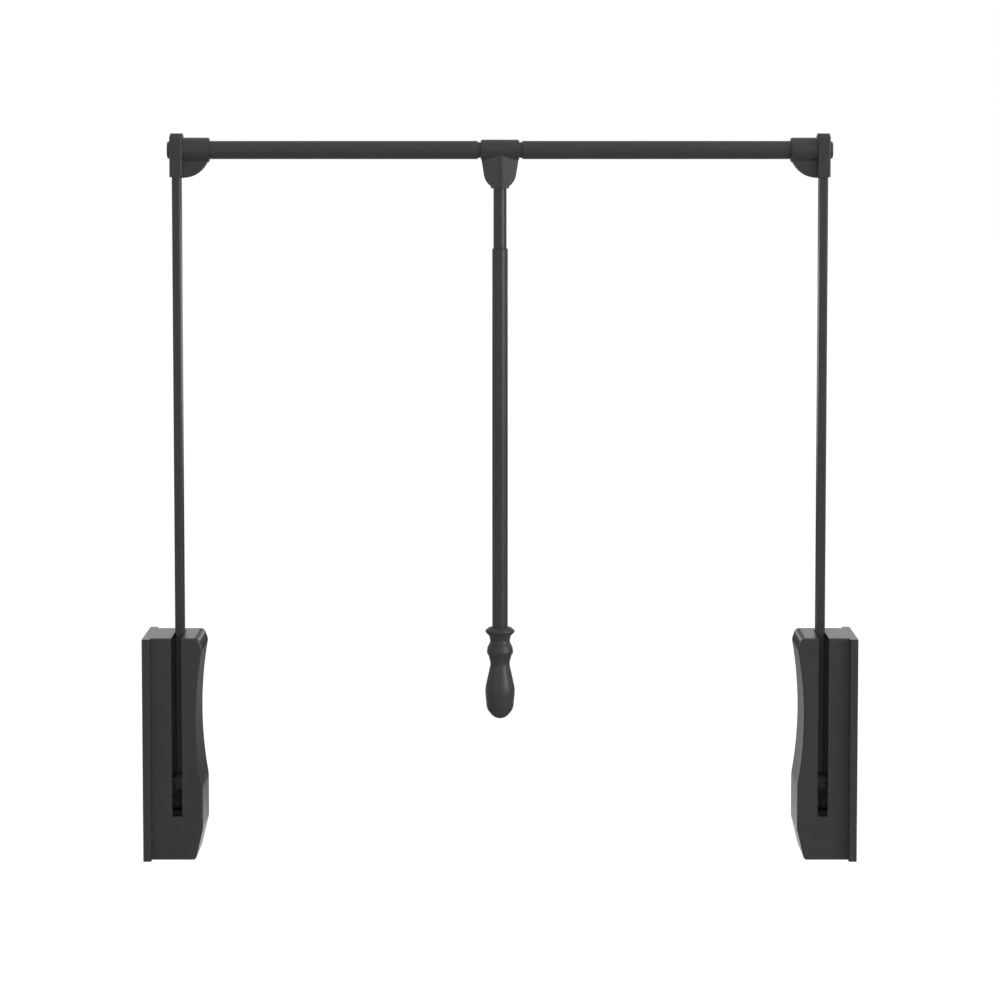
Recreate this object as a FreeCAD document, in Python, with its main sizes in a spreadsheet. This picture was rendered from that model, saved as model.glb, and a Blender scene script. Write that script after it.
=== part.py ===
import FreeCAD, Part
import math
import os
import Sketcher

# Pull down closet rod: two wall housings carry spring-loaded arms, the arms carry a
# telescoping hanging rod, and a telescoping pull rod with a turned handle hangs from its middle.
#
# Row frame: +X to the right, +Y to the back of the wardrobe, +Z up.  The origin lies midway
# between the two side panels, midway in depth, at the level of the housings' lower ends.
#
# The left half is modelled once, in a frame whose x is the distance from the left side
# panel, and mirrored for the right.

VEC = FreeCAD.Vector
ROUND_TOL = 1e-6
EDGE_TOL = 1e-3
CUT_TOL = 0.01
RECESS_ROWS = 5
FRAME_SCREWS = 3
COVER_SCREWS = 2
WINDOWS = 2
RIVETS = 2

# Handle outline from its tip upwards: distance from its axis, height, rounding (mm).
HANDLE_OUTLINE = (
    (6.3, 0, 13.4), (16.2, 11.5, 16.3), (18.4, 35.8, 41.2), (11.4, 67.4, 15.5),
    (14.2, 77.9, 5), (16.2, 80.7, 4), (15.2, 87.8, 5), (11.8, 94.4, 6.4), (13.1, 101.2, 4.7),
    (19.1, 107.5, 2.5), (13.3, 112, 4.9))

# alias: (millimetres, meaning)
DIMENSIONS = {
    "overall_width": (860, "outside of one wall plate to the other, rod collapsed"),
    "arm_back": (10.5, "arm plane behind the row origin"),
    "housing_tall": (270, "height of wall plate and cover"),
    "plate_thick": (9.6, "wall plate thickness"),
    "plate_front": (69, "wall plate front edge, ahead of the arm plane"),
    "plate_rear": (48, "wall plate rear edge, behind the arm plane"),
    "plate_round": (2.2, "rounding of the wall plate's upright edges"),
    "plate_skin": (3, "plate left over the recesses on the wall side"),
    "plate_margin": (16.5, "solid edge of the wall plate around its recesses"),
    "plate_spine": (10, "upright rib under the frame screws"),
    "rib_thick": (4, "ribs between the recesses"),
    "pilot_floor": (2, "plate left under the pilot holes of the frame screws"),
    "mount_hole": (2.3, "radius of the holes for the wall screws"),
    "mount_sink": (1.9, "countersink leg of the wall screw holes"),
    "mount_front": (62.9, "front wall screws, ahead of the arm plane"),
    "mount_rear": (42.6, "rear wall screws, behind the arm plane"),
    "mount_low": (30, "height of the lower wall screws"),
    "mount_high": (240, "height of the upper wall screws"),
    "shell": (2.5, "cover wall thickness"),
    "cover_front": (58, "cover front face, ahead of the arm plane"),
    "cover_rear": (38, "cover rear face, behind the arm plane"),
    "cover_deep": (71.4, "cover inner face from the side panel"),
    "cover_foot": (62.3, "cover depth from the side panel at its lower end"),
    "slant_tall": (38, "height of the slanted lower end"),
    "waist_low": (90.5, "start of the grip waist"),
    "waist_mid": (173, "middle of the grip waist"),
    "crest_high": (257, "crest above the grip waist"),
    "crest_deep": (71.7, "cover depth at that crest, before rounding"),
    "top_deep": (67.4, "cover depth at its top, before rounding"),
    "waist_apex": (57.6, "meeting point of the waist's end tangents, from the panel"),
    "waist_radius": (472, "radius of the waist"),
    "foot_round": (4, "rounding at the cover foot"),
    "slant_round": (10, "rounding above the slanted end"),
    "waist_round": (30, "rounding below the grip waist"),
    "crest_round": (12, "rounding of the crest"),
    "top_round": (7, "radius of the cover's top corner"),
    "edge_round": (2.3, "rounding of the cover's front and rear edges"),
    "slot_wide": (12.2, "width of the arm slot"),
    "slot_foot": (53, "lower end of the arm slot"),
    "slot_rear": (17.5, "rear end of the arm slot, behind the arm plane"),
    "sheet_thick": (2, "steel of the inner frame"),
    "frame_front": (50, "frame front edge, ahead of the arm plane"),
    "frame_rear": (33, "frame rear face, behind the arm plane"),
    "frame_deep": (60, "frame inner face from the side panel"),
    "frame_low": (12, "frame lower edge"),
    "frame_high": (258, "frame upper edge"),
    "frame_bend": (3, "outside bend radius of the frame"),
    "frame_corner": (8, "rounding of the frame front corners"),
    "window_low": (100, "lower edge of the first frame window"),
    "window_pitch": (56, "spacing of the frame windows"),
    "window_tall": (40, "frame window height"),
    "window_front": (36, "frame window front edge, ahead of the arm plane"),
    "window_rear": (14, "frame window rear edge, behind the arm plane"),
    "window_round": (6, "frame window corner radius"),
    "end_gap": (0.2, "gap between a pin end and the wall plate"),
    "pin_head": (5, "heads of the stop pin and spring anchor"),
    "pin_head_tall": (2, "height of those heads"),
    "head_round": (1.2, "rounding of the elbow cap and of the guide bush flange"),
    "arm_inset": (40.5, "arm centre plane from the side panel"),
    "arm_thick": (10, "arm tube across its flat"),
    "arm_deep": (30, "arm tube front to back"),
    "arm_wall": (1.5, "arm tube wall"),
    "arm_round": (2, "arm tube corner radius"),
    "arm_low": (94, "lower end of the arm tube"),
    "arm_high": (868, "upper end of the arm tube"),
    "pivot_high": (78, "arm pivot above the origin"),
    "shaft_radius": (5, "pivot shaft"),
    "pivot_head": (8, "pivot shaft head"),
    "pivot_head_tall": (3, "pivot shaft head height"),
    "clip_radius": (8, "outside of the shaft clip"),
    "clip_thick": (1.2, "shaft clip thickness"),
    "clip_gap": (0.1, "gap between frame and shaft clip"),
    "clip_groove": (0.5, "depth of the shaft clip groove"),
    "clip_mouth": (3, "half width of the shaft clip opening"),
    "running": (0.05, "radial running clearance"),
    "seat": (0.02, "radial clearance of a tight seat"),
    "bush_radius": (7, "outside of the pivot bush"),
    "hub_radius": (11, "hub of the arm foot"),
    "hub_out": (27.3, "hub end towards the side panel, from the arm plane"),
    "hub_in": (16.3, "hub end away from the side panel, from the arm plane"),
    "crank_front": (24.2, "crank pin ahead of the pivot"),
    "crank_up": (14, "crank pin above the pivot"),
    "crank_radius": (3, "crank pin"),
    "crank_head": (4.5, "crank pin head"),
    "crank_head_tall": (1.5, "crank pin head height"),
    "groove_radius": (2.4, "spring seats on the pins"),
    "groove_gap": (0.4, "spring wire play in its seats"),
    "rivet_radius": (3, "arm foot rivets"),
    "rivet_first": (26, "first rivet above the pivot"),
    "rivet_pitch": (18, "rivet spacing"),
    "rivet_head": (4.5, "rivet head"),
    "rivet_head_tall": (0.9, "rivet head height"),
    "spigot_high": (52, "top of the foot spigot above the pivot"),
    "spigot_play": (0.2, "play between spigot and arm tube, each side"),
    "heel_low": (13.5, "underside of the arm foot below the pivot"),
    "heel_round": (8.5, "rounding of the foot's underside and of its crank"),
    "crank_rim": (8.8, "foot metal ahead of the crank pin"),
    "crank_top": (7, "foot metal above the crank pin"),
    "crank_foot": (9, "foot metal below the crank pin"),
    "lobe_long": (12, "rear lobe behind the arm tube"),
    "lobe_low": (7, "upper root of the rear lobe above the pivot"),
    "lobe_round": (2, "rounding of the rear lobe's tip"),
    "pin_proud": (0.7, "end of the hub beyond the crank pin head's seat"),
    "spring_inset": (23.5, "spring axis from the side panel"),
    "spring_radius": (8.5, "outside of the spring coils"),
    "wire_radius": (2, "spring wire"),
    "eye_radius": (3.1, "inside of the spring eyes"),
    "neck_radius": (2.2, "spring neck between eye and coils"),
    "coil_start": (12, "first coil from the centre of an eye"),
    "anchor_front": (18, "spring anchor ahead of the arm plane"),
    "anchor_high": (248, "spring anchor above the origin"),
    "anchor_radius": (3.5, "spring anchor pin"),
    "anchor_flange": (6, "flange of the spring anchor"),
    "anchor_flange_tall": (1.6, "thickness of that flange"),
    "anchor_shank": (29, "end of the anchor shank from the side panel"),
    "stop_front": (43, "lower stop ahead of the arm plane"),
    "stop_high": (53.1, "lower stop above the origin"),
    "stop_radius": (6, "rubber sleeve of the lower stop"),
    "stop_half": (10, "half the length of the lower stop sleeve"),
    "rest_high": (236, "upper rest buffer above the origin"),
    "rest_radius": (7, "upper rest buffer"),
    "barb_radius": (4, "barb that holds the rest buffer"),
    "barb_tall": (2, "height of that barb"),
    "damper_rear": (22, "damper axis behind the arm plane"),
    "damper_radius": (5.5, "damper barrel"),
    "damper_low": (10, "damper barrel lower end"),
    "damper_high": (58, "damper barrel upper end"),
    "plunger_high": (72, "plunger top under the arm foot's lobe"),
    "damper_rod": (2, "plunger rod"),
    "piston_radius": (4, "plunger piston and pad"),
    "piston_tall": (5, "piston height, and its play above the barrel floor"),
    "pad_tall": (3, "plunger pad height"),
    "gland_tall": (4, "damper gland height"),
    "damper_floor": (3, "damper barrel floor"),
    "holder_high": (32, "middle of the damper clip"),
    "holder_half": (14, "half the damper clip height"),
    "holder_wide": (8, "half the damper clip width"),
    "holder_jaw": (3, "damper clip jaws ahead of the barrel axis"),
    "holder_round": (1, "rounding of those jaws"),
    "stud_proud": (1.2, "end of the damper clip's stud behind the frame"),
    "frame_screw_low": (30, "first frame screw above the origin"),
    "frame_screw_pitch": (90, "frame screw spacing"),
    "frame_screw_front": (10, "frame screws ahead of the arm plane"),
    "cover_screw_low": (60, "lower cover screw above the origin"),
    "cover_screw_pitch": (150, "cover screw spacing"),
    "cover_screw_inset": (25, "cover screws from the side panel"),
    "screw_radius": (2, "machine screws and grub screws"),
    "screw_long": (8.5, "machine screw length under the head"),
    "pan_radius": (4, "pan head of a machine screw"),
    "pan_tall": (2, "pan head height"),
    "rod_high": (855, "hanging rod axis above the origin"),
    "rod_radius": (11, "outer hanging tubes"),
    "inner_radius": (9.5, "inner hanging tube"),
    "inner_wall": (1.2, "inner hanging tube wall"),
    "inner_half": (230, "half the inner hanging tube's length"),
    "tube_start": (10, "outer tube end inside the elbow, from the arm plane"),
    "tee_half": (23, "half the tee sleeve's length"),
    "tee_gap": (3.7, "gap between tee sleeve and each outer tube"),
    "socket_half": (7.5, "elbow socket half width"),
    "socket_deep": (17.5, "elbow socket half depth"),
    "socket_low": (32.5, "elbow socket below the rod axis"),
    "socket_shoulder": (15, "foot of the elbow's bevelled cap above the rod axis"),
    "socket_high": (20, "elbow top above the rod axis"),
    "socket_round": (1.5, "rounding of the elbow socket"),
    "cap_narrow": (1.2, "inset of the elbow cap, side to side"),
    "cap_short": (4.5, "inset of the elbow cap, front to back"),
    "sleeve_radius": (15, "elbow sleeve"),
    "sleeve_end": (39.5, "elbow sleeve mouth from the arm plane"),
    "gusset_radius": (33.4, "quarter round gusset under the sleeve"),
    "gusset_half": (8, "gusset half thickness"),
    "gusset_root": (2, "gusset root inside the elbow socket"),
    "gusset_tip": (0.6, "straight rest of the gusset's outline beside its arc"),
    "mouth_break": (1.2, "broken edge of the elbow's sleeve mouth"),
    "tube_break": (0.5, "broken edge at the outer tube's inner end"),
    "bolt_radius": (4, "rod bolt"),
    "bolt_head": (10.3, "rod bolt head"),
    "bolt_head_tall": (3.8, "rod bolt head height"),
    "bolt_long": (28, "end of the rod bolt from the arm plane"),
    "bolt_break": (2.2, "broken edge of the rod bolt head"),
    "hex_half": (3, "half the hexagon socket across its flats"),
    "hex_deep": (2.6, "hexagon socket depth"),
    "plug_bore": (30, "end of the tube plug bore, from the arm plane"),
    "plug_end": (36, "end of the tube plug, from the arm plane"),
    "tee_radius": (12.5, "tee sleeve"),
    "skirt_half": (22.9, "tee skirt half width under the sleeve"),
    "socket_radius": (11, "rod socket of the tee"),
    "socket_crest": (11.54, "meeting point of the flanks that run tangent from the socket"),
    "skirt_edge": (4, "half thickness of the tee's skirt at its upright edges"),
    "skirt_low": (46, "lower end of the tee's rod socket, below the rod axis"),
    "skirt_lip": (2.6, "straight lip at the lower end of the rod socket"),
    "skirt_foot": (8.4, "bend of the skirt above the socket end"),
    "skirt_bend": (18.2, "half width of the skirt at that bend"),
    "skirt_top": (8, "upright edge of the skirt below the rod axis"),
    "skirt_round": (20, "rounding of that bend"),
    "tee_break": (0.8, "broken edges of the tee sleeve"),
    "tee_screw_seat": (5.6, "inner end of the tee screw behind the rod axis"),
    "hole_reach": (14, "outer end of the cross holes behind the rod axis"),
    "screw_gap": (0.3, "grub screws below the surface they are sunk in"),
    "locator_low": (6.5, "lower end of the locating pin above the rod axis"),
    "locator_high": (10.9, "upper end of the locating pin above the rod axis"),
    "locator_groove": (11.2, "groove inside the tee for the locating pin"),
    "locator_half": (2.3, "half width of that groove"),
    "rod_seat": (13, "top of the pull rod seat below the rod axis"),
    "tee_screw_low": (38, "tee screw below the rod axis"),
    "pull_radius": (8, "upper pull rod"),
    "pull_wall": (1.2, "upper pull rod wall"),
    "pull_low": (470, "upper pull rod's hidden end below the rod axis"),
    "swage_radius": (8.4, "swaged end of the upper pull rod, stops the guide bush"),
    "swage_tall": (20, "length of the swaged end"),
    "grip_radius": (9.5, "lower pull tube"),
    "grip_wall": (1, "lower pull tube wall"),
    "grip_high": (119.5, "lower pull tube's upper end below the rod axis"),
    "guide_tall": (28, "guide bush length inside the lower tube"),
    "guide_flange": (1.5, "guide bush flange"),
    "handle_low": (164, "handle lower end above the origin"),
    "handle_tall": (112, "handle length"),
    "handle_socket": (20, "depth of the tube seat in the handle"),
    "grub_rise": (8, "handle screw above the end of the pull tube"),
    "grub_seat": (7.4, "inner end of the handle screw behind the handle's axis"),
    "grub_end": (12, "outer end of the handle screw behind the handle's axis"),
    "handle_rim": (2, "flat rim round the pull tube on top of the handle"),
}


class Size:
    """A dimension with its value and the sheet expression that yields it."""

    def __init__(self, value, text):
        self.value = value
        self.text = text

    def __add__(self, other):
        other = as_size(other)
        return Size(self.value + other.value, f"({self.text} + {other.text})")

    def __sub__(self, other):
        other = as_size(other)
        return Size(self.value - other.value, f"({self.text} - {other.text})")

    def __mul__(self, factor):
        return Size(self.value * factor, f"({self.text} * {factor})")

    def __truediv__(self, factor):
        return Size(self.value / factor, f"({self.text} / {factor})")

    def __neg__(self):
        return Size(-self.value, f"(0 - {self.text})")

    def __rmul__(self, factor):
        return self * factor


def as_size(item):
    return item if isinstance(item, Size) else Size(float(item), f"{float(item):g}")


def number(item):
    return as_size(item).value


class Dimensions:
    """The driving dimensions, written to a spreadsheet and read back as Size values."""

    def __init__(self, doc):
        self.sheet = doc.addObject("Spreadsheet::Sheet", "Sheet")
        for row, (alias, (value, meaning)) in enumerate(DIMENSIONS.items(), start=1):
            self.sheet.set(f"A{row}", alias)
            self.sheet.set(f"B{row}", str(value))
            self.sheet.set(f"C{row}", meaning)
            self.sheet.setAlias(f"B{row}", alias)
        doc.recompute()
        for alias in DIMENSIONS:
            setattr(self, alias, Size(float(getattr(self.sheet, alias)), f"Sheet.{alias}"))


doc = FreeCAD.newDocument("pull_down_closet_rod")
D = Dimensions(doc)
sub_parts = []


def bind(item, path, size):
    """Bind one property to a sheet expression."""
    item.setExpression(path, as_size(size).text)


class Sketch:
    """A constrained sketch on one of a body's origin planes, set off along its normal."""

    def __init__(self, body, plane, offset):
        self.item = body.newObject("Sketcher::SketchObject", f"{body.Name}_sketch")
        base = next(f for f in body.Origin.OriginFeatures if f.Role == f"{plane}_Plane")
        self.item.AttachmentSupport = [(base, "")]
        self.item.MapMode = "FlatFace"
        bind(self.item, "AttachmentOffset.Base.z", offset)

    def measure(self, kind, parts, size):
        """Add a driving constraint and bind it to the sheet."""
        index = self.item.addConstraint(Sketcher.Constraint(kind, *parts, number(size)))
        self.item.setExpression(f"Constraints[{index}]", as_size(size).text)

    def pin_point(self, geometry, position, x, y):
        """Fix a point by its distances from the sketch origin."""
        for kind, axis, size in (("DistanceX", -2, x), ("DistanceY", -1, y)):
            if abs(number(size)) < ROUND_TOL:
                self.item.addConstraint(
                    Sketcher.Constraint("PointOnObject", geometry, position, axis))
            else:
                self.measure(kind, (-1, 1, geometry, position), size)

    def circle(self, x, y, radius):
        circle = Part.Circle(VEC(number(x), number(y), 0), VEC(0, 0, 1), number(radius))
        geometry = self.item.addGeometry(circle)
        self.pin_point(geometry, 3, x, y)
        self.measure("Radius", (geometry,), radius)

    def ring(self, outer, inner):
        self.circle(0, 0, outer)
        self.circle(0, 0, inner)

    def rect(self, x0, y0, x1, y1):
        self.outline([(x0, y0), (x1, y0), (x1, y1), (x0, y1)])

    def outline(self, corners):
        """Draw a closed outline of (x, y) or (x, y, radius) corners with tangent arcs."""
        corners = [tuple(c) + (0,) * (3 - len(c)) for c in corners]
        spots = [VEC(number(x), number(y), 0) for x, y, _ in corners]
        count = len(corners)
        rounds = []
        for i, (_, _, radius) in enumerate(corners):
            rounds.append(corner_arc(spots[i - 1], spots[i], spots[(i + 1) % count],
                                     number(radius)))
        lines = []
        for i in range(count):
            start, end = rounds[i][1], rounds[(i + 1) % count][0]
            lines.append(self.item.addGeometry(Part.LineSegment(start, end)))
        for i, (x, y, radius) in enumerate(corners):
            before, after = lines[i - 1], lines[i]
            if number(radius) == 0:
                self.item.addConstraint(Sketcher.Constraint("Coincident", before, 2, after, 1))
                self.pin_point(after, 1, x, y)
                continue
            _, _, arc, forward = rounds[i]
            geometry = self.item.addGeometry(arc)
            first, last = (1, 2) if forward else (2, 1)
            corner = self.item.addGeometry(Part.Point(spots[i]), True)
            self.item.addConstraint([
                Sketcher.Constraint("Tangent", before, 2, geometry, first),
                Sketcher.Constraint("Tangent", geometry, last, after, 1),
                Sketcher.Constraint("PointOnObject", corner, 1, before),
                Sketcher.Constraint("PointOnObject", corner, 1, after)])
            self.pin_point(corner, 1, x, y)
            self.measure("Radius", (geometry,), radius)


def corner_arc(before, corner, after, radius):
    """Tangent points of a corner's rounding, its arc, and whether the arc runs forwards."""
    if radius == 0:
        return corner, corner, None, True
    towards, onwards = (before - corner).normalize(), (after - corner).normalize()
    half = towards.getAngle(onwards) / 2
    leg = radius / math.tan(half)
    start, end = corner + towards * leg, corner + onwards * leg
    centre = corner + (towards + onwards).normalize() * (radius / math.sin(half))
    forward = towards.cross(onwards).z < 0
    angles = [math.atan2(p.y - centre.y, p.x - centre.x) for p in (start, end)]
    first, last = angles if forward else reversed(angles)
    if last < first:
        last += 2 * math.pi
    arc = Part.ArcOfCircle(Part.Circle(centre, VEC(0, 0, 1), radius), first, last)
    return start, end, arc, forward


class Piece:
    """A PartDesign body: one physical piece, placed by sheet expressions."""

    def __init__(self, label, x=0, y=0, z=0, many=False):
        self.body = doc.addObject("PartDesign::Body", label)
        self.body.Label = label
        self.body.AllowCompound = many
        for axis, size in (("x", x), ("y", y), ("z", z)):
            bind(self.body, f"Placement.Base.{axis}", size)
        sub_parts.append(self.body)

    def pad(self, plane, start, end):
        """Pad a sketch from one coordinate to another along the plane's normal axis."""
        sketch = Sketch(self.body, plane, -as_size(end) if plane == "XZ" else start)
        feature = self.body.newObject("PartDesign::Pad", f"{self.body.Name}_pad")
        return self.extrude(feature, sketch, start, end)

    def pocket(self, plane, start, end):
        """Cut a sketch out from one coordinate to another along the plane's normal axis."""
        sketch = Sketch(self.body, plane, -as_size(start) if plane == "XZ" else end)
        feature = self.body.newObject("PartDesign::Pocket", f"{self.body.Name}_pocket")
        return self.extrude(feature, sketch, start, end)

    def extrude(self, feature, sketch, start, end):
        feature.Profile = sketch.item
        bind(feature, "Length", as_size(end) - start)
        return sketch

    def revolve(self, plane, axis):
        """Turn a sketch about its own horizontal (H) or vertical (V) axis."""
        sketch = Sketch(self.body, plane, 0)
        feature = self.body.newObject("PartDesign::Revolution", f"{self.body.Name}_turn")
        feature.Profile = sketch.item
        feature.ReferenceAxis = (sketch.item, [f"{axis}_Axis"])
        feature.Angle = 360
        return sketch

    def dress(self, kind, prop, size, choose):
        """Fillet or chamfer the edges of the finished shape that choose() picks."""
        doc.recompute()
        base = self.body.Tip
        names = [f"Edge{i}" for i, edge in enumerate(base.Shape.Edges, start=1) if choose(edge)]
        if not names:
            raise ValueError(f"{self.body.Label}: no edge to dress")
        feature = self.body.newObject(f"PartDesign::{kind}", f"{self.body.Name}_{kind.lower()}")
        feature.Base = (base, names)
        bind(feature, prop, size)

    def fillet(self, radius, choose):
        self.dress("Fillet", "Radius", radius, choose)

    def chamfer(self, size, choose):
        self.dress("Chamfer", "Size", size, choose)

    def repeat(self, axis, pitch, count):
        """Repeat the last feature along an origin axis."""
        doc.recompute()
        last = self.body.Tip
        pattern = self.body.newObject("PartDesign::LinearPattern", f"{self.body.Name}_row")
        pattern.Originals = [last]
        line = next(f for f in self.body.Origin.OriginFeatures if f.Role == f"{axis}_Axis")
        pattern.Direction = (line, [""])
        bind(pattern, "Length", as_size(pitch) * (count - 1))
        pattern.Occurrences = count
        self.body.Tip = pattern


def housing_piece(label, many=False):
    """A left piece drawn from the side panel, the arm plane and the housing's lower end."""
    return Piece(label, -D.overall_width / 2, D.arm_back, 0, many)


def edge_at(edge, axis, value):
    """True if the whole edge lies at one coordinate."""
    low, high = getattr(edge.BoundBox, f"{axis}Min"), getattr(edge.BoundBox, f"{axis}Max")
    return abs(low - value) < EDGE_TOL and abs(high - value) < EDGE_TOL


def circle_at(edge, axis, value):
    """True if the edge is a circle or arc at one coordinate."""
    return isinstance(edge.Curve, Part.Circle) and edge_at(edge, axis, value)


# ---------------------------------------------------------------- wall housings

def wall_plate():
    """Moulded plate against the side panel, recessed between ribs on the wall side."""
    plate = housing_piece("left_wall_plate")
    front, rear = -D.plate_front, D.plate_rear
    plate.pad("YZ", 0, D.plate_thick).rect(front, 0, rear, D.housing_tall)
    plate.fillet(D.plate_round, lambda edge: edge_at(edge, "X", number(D.plate_thick)) and (
        edge_at(edge, "Y", number(front)) or edge_at(edge, "Y", number(rear))))
    recess = plate.pocket("YZ", 0, D.plate_thick - D.plate_skin)
    rib = D.rib_thick
    pitch = (D.housing_tall - 2 * rib) / RECESS_ROWS
    spine_front = -D.frame_screw_front - D.plate_spine / 2
    columns = ((front + D.plate_margin, spine_front),
               (spine_front + D.plate_spine, rear - D.plate_margin))
    for column_front, column_rear in columns:
        for row in range(RECESS_ROWS):
            recess.rect(column_front, pitch * row + 2 * rib, column_rear, pitch * (row + 1) + rib)
    holes = plate.pocket("YZ", 0, D.plate_thick)
    for high in (D.mount_low, D.mount_high):
        holes.circle(-D.mount_front, high, D.mount_hole)
        holes.circle(D.mount_rear, high, D.mount_hole)
    plate.chamfer(D.mount_sink, lambda edge: circle_at(edge, "X", number(D.plate_thick)))
    pilots = plate.pocket("YZ", D.pilot_floor, D.plate_thick)
    for row in range(FRAME_SCREWS):
        pilots.circle(-D.frame_screw_front, D.frame_screw_low + D.frame_screw_pitch * row,
                      D.screw_radius + D.seat)


def cover_outline(sketch, inset):
    """Front view of the cover: slanted foot, long grip waist and slanted crest."""
    deep, tall = D.cover_deep - inset, D.housing_tall - inset
    sketch.outline([
        (D.plate_thick, inset),
        (D.cover_foot - inset, inset, D.foot_round - inset),
        (deep, D.slant_tall, D.slant_round - inset),
        (deep, D.waist_low, D.waist_round - inset),
        (D.waist_apex - inset, D.waist_mid, D.waist_radius + inset),
        (D.crest_deep - inset, D.crest_high, D.crest_round - inset),
        (D.top_deep - inset, tall, D.top_round - inset),
        (D.plate_thick, tall)])


def cover():
    """Moulded cover, open towards the wall plate and slotted for the swinging arm."""
    shell = housing_piece("left_cover")
    cover_outline(shell.pad("XZ", -D.cover_front, D.cover_rear), 0)
    shell.fillet(D.edge_round, lambda edge: not edge_at(edge, "X", number(D.plate_thick)) and (
        edge_at(edge, "Y", -number(D.cover_front)) or edge_at(edge, "Y", number(D.cover_rear))))
    cover_outline(shell.pocket("XZ", D.shell - D.cover_front, D.cover_rear - D.shell), D.shell)
    left, right = D.arm_inset - D.slot_wide / 2, D.arm_inset + D.slot_wide / 2
    shell.pocket("XZ", -D.cover_front, 3 * D.shell - D.cover_front).rect(
        left, D.slot_foot, right, D.housing_tall)
    shell.pocket("XY", D.housing_tall - 2 * D.shell, D.housing_tall).rect(
        left, -D.cover_front, right, D.slot_rear)
    screws = shell.pocket("XZ", D.cover_rear - D.shell, D.cover_rear)
    for row in range(COVER_SCREWS):
        screws.circle(D.cover_screw_inset, D.cover_screw_low + D.cover_screw_pitch * row,
                      D.screw_radius + D.seat)


def frame():
    """Bent steel channel that carries the pivot shaft, spring anchor and stops."""
    channel = housing_piece("left_frame")
    front, rear, thick = -D.frame_front, D.frame_rear, D.sheet_thick
    near, far = D.plate_thick, D.frame_deep
    bend = D.frame_bend
    channel.pad("XY", D.frame_low, D.frame_high).outline([
        (near, front), (near, rear, bend), (far, rear, bend), (far, front),
        (far - thick, front), (far - thick, rear - thick, bend - thick),
        (near + thick, rear - thick, bend - thick), (near + thick, front)])
    channel.fillet(D.frame_corner, lambda edge: edge_at(edge, "Y", number(front))
                   and edge.Length < number(D.frame_bend))
    window = channel.pocket("YZ", far - thick, far)
    for row in range(WINDOWS):
        low = D.window_low + D.window_pitch * row
        high, window_round = low + D.window_tall, D.window_round
        window.outline([(x, y, window_round) for x, y in (
            (-D.window_front, low), (D.window_rear, low),
            (D.window_rear, high), (-D.window_front, high))])
    through = channel.pocket("YZ", near, far)
    through.circle(0, D.pivot_high, D.shaft_radius + D.running)
    through.circle(-D.stop_front, D.stop_high, D.crank_radius + D.seat)
    wall = channel.pocket("YZ", near, near + thick)
    wall.circle(-D.anchor_front, D.anchor_high, D.anchor_radius + D.seat)
    for row in range(FRAME_SCREWS):
        wall.circle(-D.frame_screw_front, D.frame_screw_low + D.frame_screw_pitch * row,
                    D.screw_radius + D.seat)
    web = channel.pocket("XZ", rear - thick, rear)
    web.circle(D.arm_inset, D.rest_high, D.crank_radius)
    web.circle(D.arm_inset, D.holder_high, D.crank_radius)
    for row in range(COVER_SCREWS):
        web.circle(D.cover_screw_inset, D.cover_screw_low + D.cover_screw_pitch * row,
                   D.screw_radius + D.seat)


def frame_screws():
    """Three pan head screws that hold the frame to the wall plate."""
    seat = D.plate_thick + D.sheet_thick
    screws = Piece("left_frame_screws", -D.overall_width / 2 + seat,
                   D.arm_back - D.frame_screw_front, D.frame_screw_low, many=True)
    screws.revolve("XZ", "H").outline([
        (-D.screw_long, 0), (-D.screw_long, D.screw_radius), (0, D.screw_radius),
        (0, D.pan_radius), (D.pan_tall, D.pan_radius), (D.pan_tall, 0)])
    screws.repeat("Z", D.frame_screw_pitch, FRAME_SCREWS)


def cover_screws():
    """Two pan head screws through the cover's rear wall into the frame."""
    screws = Piece("left_cover_screws", -D.overall_width / 2 + D.cover_screw_inset,
                   D.arm_back + D.cover_rear, D.cover_screw_low, many=True)
    screws.revolve("XY", "V").outline([
        (0, -D.screw_long), (D.screw_radius, -D.screw_long), (D.screw_radius, 0),
        (D.pan_radius, 0), (D.pan_radius, D.pan_tall), (0, D.pan_tall)])
    screws.repeat("Z", D.cover_screw_pitch, COVER_SCREWS)


def across_piece(label, front, high):
    """A left piece whose own axis runs across the housing, x from the side panel."""
    return Piece(label, -D.overall_width / 2, D.arm_back - front, high)


def pivot_shaft():
    shaft = across_piece("left_pivot_shaft", 0, D.pivot_high)
    radius, tail = D.shaft_radius, D.plate_thick + D.end_gap
    clip = D.plate_thick + D.sheet_thick + D.clip_gap
    clip_end, groove = clip + D.clip_thick, radius - D.clip_groove
    head_end = D.frame_deep + D.pivot_head_tall
    shaft.revolve("XZ", "H").outline([
        (tail, 0), (tail, radius), (clip, radius), (clip, groove), (clip_end, groove),
        (clip_end, radius), (D.frame_deep, radius), (D.frame_deep, D.pivot_head),
        (head_end, D.pivot_head), (head_end, 0)])


def shaft_clip():
    """Open retaining ring in the pivot shaft's groove."""
    clip = across_piece("left_shaft_clip", 0, D.pivot_high)
    start = D.plate_thick + D.sheet_thick + D.clip_gap
    end, outside = start + D.clip_thick, D.clip_radius
    clip.pad("YZ", start, end).ring(outside, D.shaft_radius - D.clip_groove + D.seat)
    clip.pocket("YZ", start, end).rect(-D.clip_mouth, D.shaft_radius / 2, D.clip_mouth, outside)


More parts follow.
